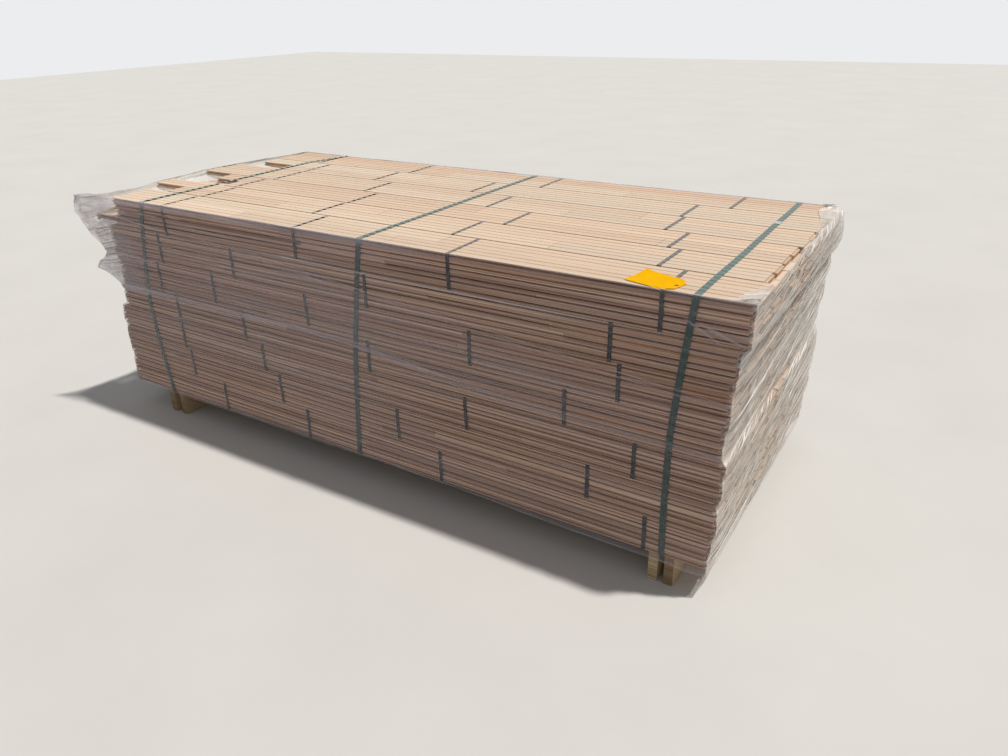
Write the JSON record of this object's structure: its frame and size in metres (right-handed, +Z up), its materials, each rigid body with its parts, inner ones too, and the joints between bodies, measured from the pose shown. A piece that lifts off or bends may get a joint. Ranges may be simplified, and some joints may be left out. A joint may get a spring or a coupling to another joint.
{
  "type": "stack of hardwood flooring boards",
  "caption": "Strapped and film-wrapped unit stack of tongue-and-groove hardwood flooring bundles on paired sleepers, with fork room underneath and a blank tag.",
  "frame": {"origin": "on the floor under the middle of the whole stack", "axes": "+X along the boards towards the end that leans out at the top, +Y from the front to the back of the stack, +Z up"},
  "size_m": [2.651, 1.0944, 0.9223],
  "materials": {
    "hardwood": "planed, unfinished",
    "softwood": "rough sawn",
    "tie_plastic": "satin polypropylene band",
    "strap_plastic": "glossy embossed band",
    "seal_steel": "crimped sheet",
    "film": "clear stretch film",
    "tag_card": "smooth card, bare"
  },
  "bodies": {
    "root": {"bundle_course1_row1": "hardwood", "bundle_course1_row2": "hardwood", "bundle_course1_row3": "hardwood", "bundle_course1_row4": "hardwood", "bundle_course1_row5": "hardwood", "bundle_course1_row6": "hardwood", "bundle_course2_row1": "hardwood", "bundle_course2_row2": "hardwood", "bundle_course2_row3": "hardwood", "bundle_course2_row4": "hardwood", "bundle_course2_row5": "hardwood", "bundle_course2_row6": "hardwood", "bundle_course3_row1": "hardwood", "bundle_course3_row2": "hardwood", "bundle_course3_row3": "hardwood", "bundle_course3_row4": "hardwood", "bundle_course3_row5": "hardwood", "bundle_course3_row6": "hardwood", "bundle_course4_row1": "hardwood", "bundle_course4_row2": "hardwood", "bundle_course4_row3": "hardwood", "bundle_course4_row4": "hardwood", "bundle_course4_row5": "hardwood", "bundle_course4_row6": "hardwood", "bundle_course5_row1": "hardwood", "bundle_course5_row2": "hardwood", "bundle_course5_row3": "hardwood", "bundle_course5_row4": "hardwood", "bundle_course5_row5": "hardwood", "bundle_course5_row6": "hardwood", "bundle_course6_row1": "hardwood", "bundle_course6_row2": "hardwood", "bundle_course6_row3": "hardwood", "bundle_course6_row4": "hardwood", "bundle_course6_row5": "hardwood", "bundle_course6_row6": "hardwood", "bundle_course7_row1": "hardwood", "bundle_course7_row2": "hardwood", "bundle_course7_row3": "hardwood", "bundle_course7_row4": "hardwood", "bundle_course7_row5": "hardwood", "bundle_course7_row6": "hardwood", "ties_course1": "tie_plastic", "ties_course2": "tie_plastic", "ties_course3": "tie_plastic", "ties_course4": "tie_plastic", "ties_course5": "tie_plastic", "ties_course6": "tie_plastic", "ties_course7": "tie_plastic", "strap_left": "strap_plastic", "strap_middle": "strap_plastic", "strap_right": "strap_plastic", "strap_seals": "seal_steel", "sleeper_left_outer": "softwood", "sleeper_left_inner": "softwood", "sleeper_right_outer": "softwood", "sleeper_right_inner": "softwood", "stretch_film": "film", "tag": "tag_card"}
  },
  "joints": []
}
